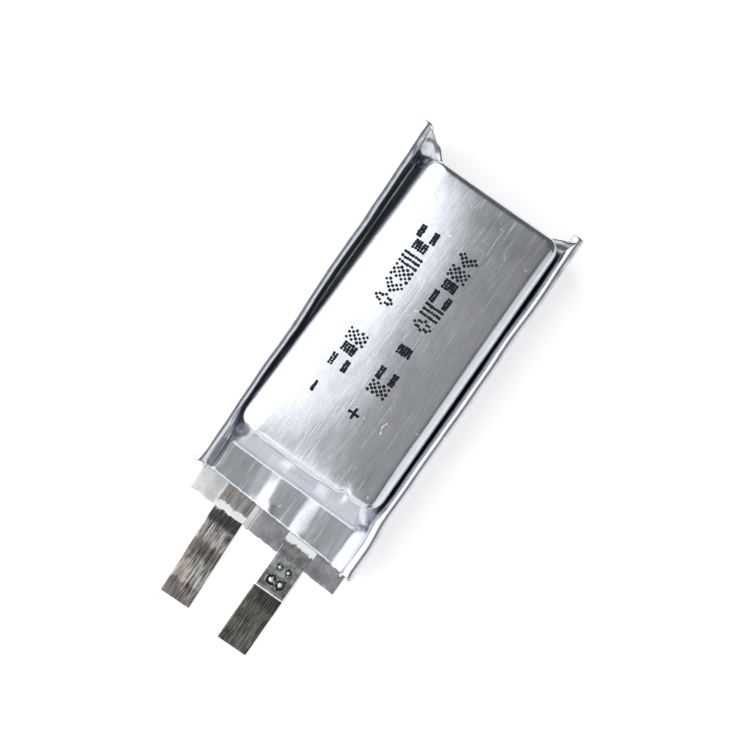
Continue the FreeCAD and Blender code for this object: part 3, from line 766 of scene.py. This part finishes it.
def resin_finish(colours, name, tint, tab, frost, highlight_line_at):
    """Sealing film: milky outside the tab, clear over it but for a frosted band.

    tab is the tab's span across, frost the frosted band's span along, and the last argument the
    place of a painted white highlight line along the film; all in millimetres.
    """
    finish = Finish(name, roughness=0.2, coat=0.4, coat_roughness=0.08, ior=1.49)
    x, y, _ = finish.coordinates()
    clouds = finish.noise(0.8, 4.0, 0.6)
    fine = finish.noise(6.0, 3.0, 0.6, stretch=(1, 0.4, 1))
    over = x.ramp(tab[0] - 0.05, tab[0]) * (1 - x.ramp(tab[1], tab[1] + 0.05))
    wander = y + (fine - 0.5) * 0.7 + (clouds - 0.5) * 0.5
    frosted = wander.ramp(frost[0] - 0.1, frost[0] + 0.1) * (
        1 - wander.ramp(frost[1] - 0.1, frost[1] + 0.1))
    frosted = frosted * over
    # Painted highlight: a white line along one edge of the film, painted into the colour.
    line = x.ramp(highlight_line_at - 0.08, highlight_line_at - 0.02) * (1 - x.ramp(highlight_line_at + 0.02, highlight_line_at + 0.08))
    colour = finish.blend((clouds * 0.8 + fine * 0.2).ramp(0.35, 0.68), tuple(tint[0]), tuple(tint[1]))
    colour = finish.blend(over * 0.7, colour, (0.10, 0.10, 0.105))
    colour = finish.blend(frosted + line * 0.8, colour, tuple(colours.resin))
    # Painted glow: the film gives off a faint white light of its own.
    finish.shader.inputs["Emission Color"].default_value = (1, 1, 1, 1)
    finish.shader.inputs["Emission Strength"].default_value = 0.05
    finish.paint(colour=colour, roughness=0.14 + clouds * 0.12 + frosted * 0.3,
                 alpha=0.93 - over * (1 - frosted) * 0.55)
    finish.bump(clouds + fine * 0.12, 0.10 * MM)
    return finish.material


def powder_finish(name, light, dark, per_mm, roughness=0.85, metallic=0.0, stretch=(1, 1, 1)):
    """A plain fine-grained finish for the layers inside the pouch."""
    finish = Finish(name, metallic=metallic)
    coarse = finish.noise(per_mm * 0.2, 3.0, 0.6, stretch=stretch)
    fine = finish.noise(per_mm, 3.0, 0.6, stretch=stretch, shift=(3, 5, 7))
    colour = finish.blend((coarse * 0.5 + fine * 0.5).ramp(0.3, 0.7), dark, light)
    finish.paint(colour=colour, roughness=roughness - 0.1 + fine * 0.15)
    finish.bump(fine, 0.003 * MM)
    return finish.material


def ink_finish(colours):
    """Jet-printed ink: near black, thinner where the dots are grainy."""
    finish = Finish("marking_ink", roughness=0.5, ior=1.25)
    grain = finish.noise(16.0, 3.0, 0.6)
    colour = finish.blend(grain.ramp(0.35, 0.75), tuple(colours.ink), (0.03, 0.034, 0.05))
    finish.paint(colour=colour, roughness=0.38 + grain * 0.25)
    finish.bump(grain, 0.003 * MM)
    return finish.material


# ---------------------------------------------------------------- settings

def length(name, description, millimetres):
    """A length setting, given in millimetres."""
    return FloatProperty(name=name, description=description, default=millimetres * MM,
                         unit="LENGTH", precision=6)


def shade(name, description, colour):
    """A colour setting."""
    return FloatVectorProperty(name=name, description=description, default=colour,
                               subtype="COLOR", size=3, min=0.0, max=1.0)


def angle(name, description, degrees):
    """An angle setting, given in degrees."""
    return FloatProperty(name=name, description=description, default=degrees * DEGREE,
                         unit="ROTATION")


class CellSizes(bpy.types.PropertyGroup):
    """Sizes of the film pouch that the frame doesn't settle."""

    crown: length("Crown", "Height of the crown of the face", 0.34)
    side_draft: length("Side draft", "How far each side wall leans in", 0.40)
    fold_draft: length("Fold draft", "How far the wall at the fold leans in", -0.15)
    slope_run: length("Slope run", "Run of the sloped wall at the tabs", 1.55)
    shoulder: length("Shoulder", "Length of the curve round the left edge of the face", 1.35)
    right_shoulder: length("Right shoulder", "Length of the curve round its right edge", 0.85)
    fold_shoulder: length("Fold shoulder", "Length of the curve at the fold edge of the face", 0.55)
    tab_shoulder: length("Tab shoulder", "Length of the curve at the tab edge of the face", 0.32)
    slope_hollow: length("Slope hollow", "Length of the curve at the foot of the slope", 0.22)
    wall_corner: length("Wall corner", "Plan radius of the corners at the foot", 1.15)
    left_flare: length("Left flare", "How far the top of the left flank leans out", 0.84)
    edge_bow: length("Edge bow", "Bow of the tab edge of the face", 0.32)
    seal_skew: FloatProperty(name="Seal skew", description="Slope of the cut edge of the top seal",
                             default=0.065)
    root_bend: length("Root bend", "Radius where the side seals turn up", 0.30)
    right_root_bend: length("Right seal bend", "Radius of the right seal beside the top seal", 1.35)
    left_root_bend: length("Left seal bend", "Radius of the left seal beside the top seal", 0.60)
    left_lean: angle("Left lean", "Lean of the left side seal", 6.8)
    left_lean_gain: angle("Left lean gain", "How much more it leans at the fold", 4.6)
    right_lean: angle("Right lean", "Lean of the right side seal", 3.6)
    hem_bend: length("Hem bend", "Radius at the middle of the film in the double fold", 0.34)
    hem_return: length("Hem return", "Length of the strip folded back", 1.30)
    seal_squeeze: FloatProperty(name="Seal squeeze", default=0.9,
                                description="Half of a side seal over the thickness of one film")
    ear_slant: length("Ear slant", "How far the foot of an ear stands back from its top", 1.4)
    web_lean: length("Web lean", "How far the foot of a corner web stands back", 1.7)
    left_web_drop: length("Left web drop", "How far below the face the left web meets the cup", 2.1)
    right_web_drop: length("Right web drop", "How far below it the right web does", 0.6)
    web_sag: length("Web sag", "Sag of the upper edge of the corner webs", 0.12)


class CellColours(bpy.types.PropertyGroup):
    """Colours of the cell."""

    film: shade("Film", "Laminate film", (0.80, 0.82, 0.865))
    film_shade: shade("Film shade", "Darker clouds in the film", (0.60, 0.63, 0.68))
    nickel: shade("Nickel", "Nickel tab", (0.62, 0.60, 0.575))
    nickel_shade: shade("Nickel shade", "Darker lines in the nickel", (0.085, 0.08, 0.077))
    # Colour of the painted warm reflection on the nickel tab.
    warm_reflection: shade("Tarnish", "Warm patches on the nickel", (0.50, 0.38, 0.34))
    # Near-black colour of burnt marks and hairlines, and of the painted dark reflections on the nickel
    # tab.
    smudge_and_dark_reflection: shade("Smudge", "Burnt or dirty bands", (0.03, 0.03, 0.032))
    extension: shade("Extension", "Nickel extension", (0.19, 0.19, 0.165))
    extension_shade: shade("Extension shade", "Darker lines in it", (0.055, 0.055, 0.048))
    aluminium: shade("Aluminium", "Aluminium tab", (0.46, 0.48, 0.48))
    aluminium_shade: shade("Aluminium shade", "Darker clouds in it", (0.17, 0.18, 0.18))
    # Milky sealing film; also the colour of the painted highlight line.
    resin: shade("Resin", "Milky sealing film", (0.95, 0.95, 0.95))
    # The same sealing film as the milky one, painted darker grey for a dark reflection.
    resin_dark_reflection: shade("Grey resin", "Clearer sealing film", (0.12, 0.125, 0.145))
    ink: shade("Ink", "Marking ink", (0.006, 0.007, 0.013))
    floor: shade("Floor", "Pale floor", (0.93, 0.93, 0.93))


class CellView(bpy.types.PropertyGroup):
    """Camera and light."""

    distance: length("Distance", "Camera above the middle of the back", 288.0)
    turn: angle("Turn", "Turn of the camera about its own axis", -35.0)
    tip_x: angle("Tip across", "Tip of the cell about its width", -0.75)
    tip_y: angle("Tip along", "Tip of the cell about its length", 0.46)
    shift_x: length("Shift across", "Place of the cell across the view", 0.514)
    shift_y: length("Shift up", "Place of the cell up the view", 0.88)
    view_width: length("View width", "Width of what the camera sees at the cell's back", 49.052)
    key: FloatProperty(name="Left light", description="Brightness of the left softbox", default=1.55)
    fill: FloatProperty(name="Right light", description="Brightness of the right softbox",
                        default=1.0)
    front: FloatProperty(name="Front light", description="Brightness of the softbox at the tabs",
                         default=1.0)
    top: FloatProperty(name="Top light", description="Brightness of the softbox overhead",
                       default=0.27)
    sky: FloatProperty(name="Room", description="Brightness all round", default=0.09)


class CellMarks(bpy.types.PropertyGroup):
    """Generic printed marks."""

    dot: length("Dot", "Radius of one printed dot", 0.134)
    dot_pitch: length("Dot pitch", "Distance between dots", 0.198)
    mark_pitch: length("Mark pitch", "Distance between marks along a row", 0.995)
    first_mark: length("First mark", "Place of the first mark of both rows along the cell", 8.2)
    negative_row: length("Negative row", "Place of the row of the negative sign", -2.31)
    positive_row: length("Positive row", "Place of the row of the positive sign", 0.72)
    negative_shift: length("Negative shift", "How far left of its row the negative sign stands", 0.48)
    positive_shift: length("Positive shift", "How far left of its row the positive sign stands", 0.39)


# ---------------------------------------------------------------- operators

class PouchOperator:
    """What all the builders share."""

    bl_options = {"REGISTER", "UNDO"}

    @property
    def sizes(self):
        return bpy.context.scene.cell_sizes

    @property
    def colours(self):
        return bpy.context.scene.cell_colours

    def film(self):
        """The laminate's material, made once."""
        return bpy.data.materials.get("pouch_laminate") or film_finish(self.colours)


class POUCH_OT_front_film(PouchOperator, bpy.types.Operator):
    """Builds the drawn half of the film, with the top seal and the corner webs"""

    bl_idname = "pouch.front_film"
    bl_label = "Front film"

    def execute(self, context):
        points = cup_points(self.sizes)
        rings, samples = points.shape[:2]
        cup = mesh_piece("cup_film", points, grid_faces(rings, samples, wrap=True), self.film(),
                         nodes=("front_film",), merge=True)
        if cup.data.polygons[0].normal.z < 0:
            cup.data.flip_normals()
        thicken(cup, FILM)
        for word, side in (("left", -1), ("right", 1)):
            web = web_points(self.sizes, side)
            faces = grid_faces(*web.shape[:2])
            if side > 0:
                faces = faces[:, ::-1]
            piece = mesh_piece(f"{word}_corner_web", web, faces, self.film())
            thicken(piece, 1.6 * FILM, 0.0)
        return {"FINISHED"}


class POUCH_OT_back_film(PouchOperator, bpy.types.Operator):
    """Builds the flat half of the film"""

    bl_idname = "pouch.back_film"
    bl_label = "Back film"

    def execute(self, context):
        points = back_points(self.sizes)
        faces = grid_faces(*points.shape[:2])[:, ::-1]
        sheet = mesh_piece("flat_film", points, faces, self.film(),
                           nodes=("back_film",))
        thicken(sheet, FILM)
        return {"FINISHED"}


class POUCH_OT_side_seals(PouchOperator, bpy.types.Operator):
    """Builds the two double-folded side seals"""

    bl_idname = "pouch.side_seals"
    bl_label = "Side seals"

    def execute(self, context):
        for word, side in (("left", -1), ("right", 1)):
            loop = side_seal_points(self.sizes, side)
            mesh_piece(f"{word}_seal_strip", loop, strip_faces(loop.shape[0], loop.shape[1] // 2),
                       self.film(), nodes=(f"{word}_side_seal",), outward=True)
        return {"FINISHED"}


class POUCH_OT_tabs(PouchOperator, bpy.types.Operator):
    """Builds the nickel tab, the aluminium tab and its nickel extension"""

    bl_idname = "pouch.tabs"
    bl_label = "Tabs"

    def execute(self, context):
        colours = self.colours
        # On the nickel tab the dark bands are painted dark reflections and the warm patches painted warm
        # reflections.
        nickel = nickel_finish(colours, "nickel_strip", colours.nickel, colours.nickel_shade,
                               [(-14.9, -13.9, 1.0), (-17.3, -16.3, 0.6), (-21.5, -19.2, 0.6)], 1.0)
        darker = nickel_finish(colours, "nickel_extension", colours.extension,
                               colours.extension_shade, [(-17.7, -16.4, 0.45)], 0.0)
        rows = [
            ("negative_tab", "nickel_tab_strip", nickel, "nickel", 0.05, 0.26, 0.10, 0.02),
            ("positive_tab", "aluminium_tab_strip", tab_aluminium_finish(colours),
             "tab_aluminium", 0.0, 0.0, 0.0, 0.0),
            ("positive_tab_extension", "nickel_extension_strip", darker, "nickel", 0.0, 0.0, 0.0,
             0.01),
        ]
        for number, (node, name, material, slot, bow, drift, droop, skew) in enumerate(rows):
            points = ribbon_points(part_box(node), bow * MM, drift * MM, droop * MM, 150,
                                   101 + number, skew)
            mesh_piece(name, points, ribbon_faces(*points.shape[:2]), material,
                       nodes=(node,), outward=True)
        return {"FINISHED"}


class POUCH_OT_welds(PouchOperator, bpy.types.Operator):
    """Builds the four spot welds"""

    bl_idname = "pouch.welds"
    bl_label = "Spot welds"

    def execute(self, context):
        low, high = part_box("extension_spot_welds")
        top = corner("positive_tab", True, 2)
        small, large = 0.27 * MM, 0.43 * MM
        across = (high[0] + low[0]) / 2
        half = (high[0] - low[0]) / 2 - large
        places = [(across + side * half, row, radius)
                  for row, radius in ((high[1] - small, small), (low[1] + large, large))
                  for side in (-1, 1)]
        meshes, layers, faces = [], [], []
        for number, (x, y, radius) in enumerate(places):
            points, uv = pit_points((x, y), radius, top, 1.7 * number)
            rings, samples = points.shape[:2]
            faces.append(grid_faces(rings, samples, wrap=True)[:, ::-1] + number * rings * samples)
            meshes.append(points.reshape(-1, 3))
            layers.append(uv.reshape(-1, 2))
        piece = mesh_piece("spot_welds", np.concatenate(meshes), np.concatenate(faces),
                           weld_finish(self.colours),
                           nodes=("extension_spot_welds",), uv=np.concatenate(layers), merge=True)
        if piece.data.polygons[len(piece.data.polygons) // 2].normal.z < 0:
            piece.data.flip_normals()
        thicken(piece, 0.05 * MM)
        return {"FINISHED"}


class POUCH_OT_sealing_films(PouchOperator, bpy.types.Operator):
    """Builds the four resin films round the tabs"""

    bl_idname = "pouch.sealing_films"
    bl_label = "Sealing films"

    def execute(self, context):
        colours = self.colours
        cut = SEAL_EDGE / MM
        left = resin_finish(colours, "milky_resin", ((0.62, 0.62, 0.63), (0.85, 0.85, 0.86)),
                            (-3.66, -1.42), (cut - 1.9, cut - 0.95), -3.74)
        # The right films are the same film as the left, painted darker grey for a dark reflection.
        right = resin_finish(colours, "resin_in_dark_reflection", (colours.resin_dark_reflection, (0.30, 0.305, 0.335)),
                             (1.40, 3.66), (cut - 0.65, cut + 0.5), -0.93)
        rows = [("negative_seal_film_back", left, 0.03, 141),
                ("negative_seal_film_front", left, 0.05, 151),
                ("positive_seal_film_back", right, 0.03, 161),
                ("positive_seal_film_front", right, 0.03, 171)]
        for node, material, ragged, seed in rows:
            points = resin_points(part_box(node), ragged * MM, seed, 0.02 * MM, self.sizes.seal_skew)
            faces = ribbon_faces(*points.shape[:2])
            mesh_piece(f"{node}_slab", points, faces, material, nodes=(node,),
                       outward=True)
        return {"FINISHED"}


class POUCH_OT_marks(PouchOperator, bpy.types.Operator):
    """Prints the polarity signs and two rows of plain dot patterns on the face"""

    bl_idname = "pouch.marks"
    bl_label = "Printed marks"

    def execute(self, context):
        marks = bpy.context.scene.cell_marks
        points, faces = dot_meshes(mark_dots(marks), marks.dot, self.sizes)
        mesh_piece("printed_marks", points, faces, ink_finish(self.colours))
        return {"FINISHED"}


def mark_patterns():
    """Plain dot patterns, 7 across by 5 along: bars, diamonds, checks, blocks and slopes."""
    row, column = np.meshgrid(np.arange(7), np.arange(5), indexing="ij")
    slant = np.abs(row - 3)
    return [
        (row < 2) | (row > 4),
        np.abs(slant + 1.5 * np.abs(column - 2) - 3) < 0.8,
        (row + column) % 2 == 0,
        (row > 0) & (row < 6) & (column > 0),
        (slant == column) | (slant == column - 2),
        column % 2 == 0,
    ]


def mark_dots(marks):
    """The middle of every printed dot, in two rows along the cell."""
    patterns = mark_patterns()
    rows = [(marks.negative_row,
             [(0, 0), (1, 3), (2, 5), (3, 2), (4, 4), (5, 1), (8, 2), (9, 3), (10, 0)]),
            (marks.positive_row,
             [(0, 4), (1, 2), (2, 3), (3, 0), (4, 5), (5, 1), (7.1, 3), (9, 0), (10, 2)])]
    centres = []
    row, column = np.meshgrid(np.arange(7), np.arange(5), indexing="ij")
    for middle, cells in rows:
        for cell, kind in cells:
            keep = patterns[kind]
            x = middle + (row[keep] - 3) * marks.dot_pitch
            y = marks.first_mark - cell * marks.mark_pitch
            y = y + (column[keep] - 2) * marks.dot_pitch * 0.86
            centres.append(np.stack([x, y], axis=-1))
    t = (np.arange(5) - 2) * marks.dot_pitch
    thick = 0.035 * MM * np.array([[-1], [1]])
    minus_x = marks.negative_row - marks.negative_shift
    plus_x = marks.positive_row - marks.positive_shift
    minus_y, plus_y = -3.86 * MM, -3.9 * MM
    minus = np.stack([minus_x + 0 * t + thick, minus_y + t * 0.75 + 0 * thick], axis=-1)
    upright = np.stack([plus_x + 0 * t, plus_y + t * 0.8], axis=-1)
    level = np.stack([plus_x + t * 0.8, plus_y + 0 * t], axis=-1)
    return np.concatenate([*centres, minus.reshape(-1, 2), level, upright])


def dot_meshes(centres, radius, sizes):
    """A low eight-sided drop of ink at each place, laid on the crowned face.

    Each has a rim, a smaller ring above it and a middle point, whose places are a circle's
    cosine and sine; the drops differ a little in size and place.
    """
    corners = 8
    turn = np.linspace(0, 2 * np.pi, corners, endpoint=False)
    draw = np.random.default_rng(7)
    size = radius * draw.uniform(0.86, 1.12, (len(centres), 1))
    shift = draw.uniform(-0.022 * MM, 0.022 * MM, (len(centres), 2))
    middle = centres + shift
    ring = np.concatenate([np.ones(corners), np.full(corners, 0.6), np.zeros(1)])
    spin = np.concatenate([turn, turn, np.zeros(1)])
    rise = np.repeat([-0.004 * MM, 0.008 * MM, 0.010 * MM], [corners, corners, 1])
    x = middle[:, :1] + size * ring * np.cos(spin)
    y = middle[:, 1:] + size * ring * np.sin(spin)
    z = FACE_TOP - sizes.crown + face_relief(x, y, sizes) + rise
    first = np.arange(corners)
    after = (first + 1) % corners
    skirt = np.stack([first, after, after + corners, first + corners], axis=-1)
    cap = np.stack([first + corners, after + corners, 0 * first + 2 * corners], axis=-1)
    start = (2 * corners + 1) * np.arange(len(centres))[:, None, None]
    quads = (skirt + start).reshape(-1, 4)
    triangles = (cap + start).reshape(-1, 3)
    return np.stack([x, y, z], axis=-1), [*quads.tolist(), *triangles.tolist()]


class POUCH_OT_inner_parts(PouchOperator, bpy.types.Operator):
    """Gives the plates, foils, separator and tapes inside the pouch their finishes"""

    bl_idname = "pouch.inner_parts"
    bl_label = "Inner parts"

    def execute(self, context):
        finishes = {
            "copper_foils": powder_finish("copper", (0.80, 0.46, 0.32), (0.62, 0.33, 0.22), 8.0,
                                          0.35, 1.0, (1, 0.1, 1)),
            "aluminium_foils": powder_finish("bright_foil", (0.86, 0.87, 0.88), (0.70, 0.71, 0.73),
                                             8.0, 0.30, 1.0, (1, 0.1, 1)),
            "graphite_coatings": powder_finish("graphite", (0.075, 0.075, 0.08), (0.03, 0.03, 0.033),
                                               14.0),
            "cathode_coatings": powder_finish("oxide", (0.13, 0.125, 0.13), (0.07, 0.07, 0.075), 12.0),
            "separator": powder_finish("porous_film", (0.95, 0.95, 0.95), (0.88, 0.88, 0.89), 10.0, 0.6),
        }
        tape = powder_finish("green_tape", (0.16, 0.46, 0.24), (0.11, 0.36, 0.18), 6.0, 0.3)
        for node in ("stack_tape", "negative_weld_tape", "positive_weld_tape"):
            finishes[node] = tape
        for node, material in finishes.items():
            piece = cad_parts[node]
            piece.data.materials.clear()
            piece.data.materials.append(material)
        return {"FINISHED"}


class POUCH_OT_stage(PouchOperator, bpy.types.Operator):
    """Lays the pale floor and sets the lights and the camera"""

    bl_idname = "pouch.stage"
    bl_label = "Stage"

    def execute(self, context):
        view = bpy.context.scene.cell_view
        self.lay_floor()
        for name, place, (width, height), brightness in (
                ("left_softbox", (-227, 0, 196), (450, 600), view.key),
                ("top_softbox", (-38, 0, 400), (94, 500), view.top),
                ("front_softbox", (10, -232, 190), (300, 400), view.front),
                ("right_softbox", (300, -40, 115), (170, 320), view.fill)):
            self.light(name, place, width * MM, height * MM, brightness)
        world = bpy.data.worlds.new("soft_room")
        world.use_nodes = True
        room = world.node_tree.nodes["Background"].inputs
        room["Color"].default_value = (1, 1, 1, 1)
        room["Strength"].default_value = view.sky
        bpy.context.scene.world = world
        self.set_camera(view)
        bpy.context.scene.view_settings.view_transform = "Standard"
        return {"FINISHED"}

    def lay_floor(self):
        """A wide pale floor just under the cell."""
        reach = 1.5
        step = np.linspace(-reach, reach, 5)
        x, y = np.meshgrid(step, step)
        points = np.stack([x, y, 0 * x - 0.01 * MM], axis=-1).reshape(-1, 3)
        mesh = bpy.data.meshes.new("floor")
        mesh.from_pydata(points.tolist(), [], grid_faces(5, 5).tolist())
        finish = Finish("pale_floor", roughness=0.7)
        cloud = finish.noise(0.02, 2.0)
        colour = tuple(self.colours.floor)
        finish.paint(colour=finish.blend(cloud, colour, tuple(value * 0.985 for value in colour)))
        finish.shader.inputs["Emission Color"].default_value = (1, 1, 1, 1)
        finish.shader.inputs["Emission Strength"].default_value = 0.5
        mesh.materials.append(finish.material)
        floor = bpy.data.objects.new("floor", mesh)
        bpy.context.scene.collection.objects.link(floor)

    def light(self, name, place, width, height, brightness):
        """A soft rectangular light of even brightness that faces the cell; place in millimetres."""
        lamp = bpy.data.lights.new(name, "AREA")
        lamp.shape = "RECTANGLE"
        lamp.size, lamp.size_y = width, height
        lamp.energy = brightness * math.pi * width * height
        thing = bpy.data.objects.new(name, lamp)
        thing.location = Vector(place) * MM
        thing.rotation_euler = (-thing.location).to_track_quat("-Z", "Y").to_euler()
        thing.visible_camera = False
        bpy.context.scene.collection.objects.link(thing)

    def set_camera(self, view):
        """A long lens almost straight above the cell."""
        data = bpy.data.cameras.new("camera")
        data.sensor_width = 36.0
        data.lens = view.distance / view.view_width * data.sensor_width
        turn = (Matrix.Rotation(view.turn, 3, "Z") @ Matrix.Rotation(view.tip_y, 3, "Y")
                @ Matrix.Rotation(view.tip_x, 3, "X")).transposed()
        camera = bpy.data.objects.new("camera", data)
        camera.matrix_world = Matrix.Translation(
            turn @ Vector((-view.shift_x, -view.shift_y, view.distance))) @ turn.to_4x4()
        bpy.context.scene.collection.objects.link(camera)
        bpy.context.scene.camera = camera


class POUCH_PT_panel(bpy.types.Panel):
    """The builders, in the order in which they run"""

    bl_idname = "POUCH_PT_panel"
    bl_label = "Pouch cell"
    bl_space_type = "VIEW_3D"
    bl_region_type = "UI"
    bl_category = "Pouch cell"

    def draw(self, context):
        for operator in BUILDERS:
            self.layout.operator(operator.bl_idname)


BUILDERS = (POUCH_OT_front_film, POUCH_OT_back_film, POUCH_OT_side_seals, POUCH_OT_tabs,
            POUCH_OT_welds, POUCH_OT_sealing_films, POUCH_OT_marks, POUCH_OT_inner_parts,
            POUCH_OT_stage)
SETTINGS = {"cell_sizes": CellSizes, "cell_colours": CellColours, "cell_view": CellView,
            "cell_marks": CellMarks}


def register():
    """Registers the settings, the builders and the panel."""
    for name, group in SETTINGS.items():
        bpy.utils.register_class(group)
        setattr(bpy.types.Scene, name, PointerProperty(type=group))
    for operator in BUILDERS:
        bpy.utils.register_class(operator)
    bpy.utils.register_class(POUCH_PT_panel)


def unregister():
    """Takes them all away again."""
    bpy.utils.unregister_class(POUCH_PT_panel)
    for operator in reversed(BUILDERS):
        bpy.utils.unregister_class(operator)
    for name, group in SETTINGS.items():
        delattr(bpy.types.Scene, name)
        bpy.utils.unregister_class(group)


def main():
    """Builds the cell."""
    register()
    for operator in BUILDERS:
        group, name = operator.bl_idname.split(".")
        getattr(getattr(bpy.ops, group), name)()


if __name__ == "__main__":
    main()
